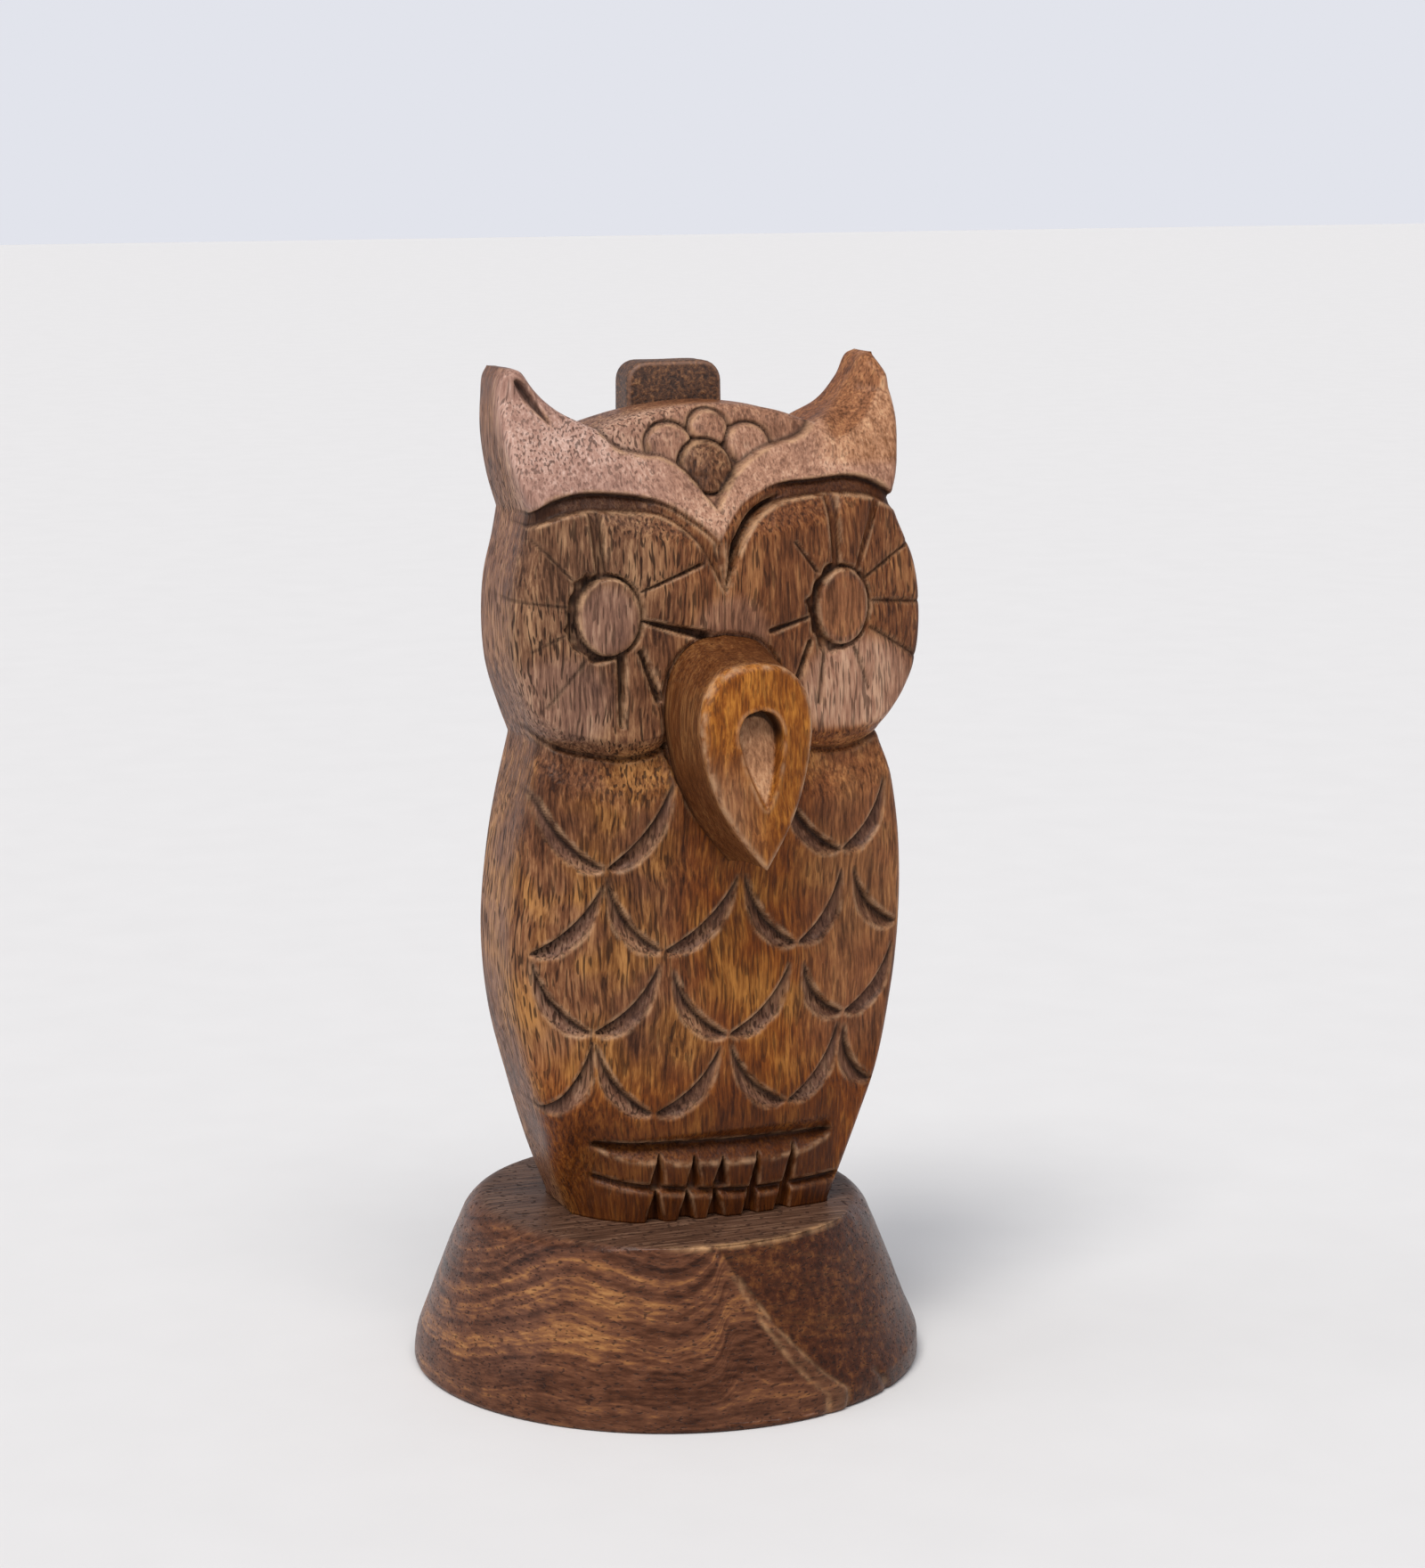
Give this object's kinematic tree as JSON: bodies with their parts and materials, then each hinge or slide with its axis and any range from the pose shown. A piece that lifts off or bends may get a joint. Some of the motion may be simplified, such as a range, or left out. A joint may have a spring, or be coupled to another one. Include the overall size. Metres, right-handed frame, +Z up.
{
  "type": "eyeglasses display stand",
  "caption": "Carved wooden owl on a round tapered base; its jutting beak carries the bridge of a pair of spectacles.",
  "frame": {"origin": "centre of the round base's underside", "axes": "+Z up; the owl looks along -Y, so +X is on a viewer's right and +Y is behind it"},
  "size_m": [0.078, 0.078, 0.1524],
  "materials": {
    "base_wood": "satin polished, dark reddish brown",
    "owl_wood": "hand rubbed, warm mid brown with dark crevices",
    "beak_wood": "satin polished, golden brown front",
    "brace_wood": "sawn and rubbed, dark speckled brown",
    "dowel_wood": "plain",
    "screw_steel": "zinc plated"
  },
  "bodies": {
    "root": {"base": "base_wood", "owl_body": "owl_wood", "beak": "beak_wood", "rear_brace": "brace_wood", "beak_dowel": "dowel_wood", "base_screws": "screw_steel", "brace_screws": "screw_steel"}
  },
  "joints": []
}
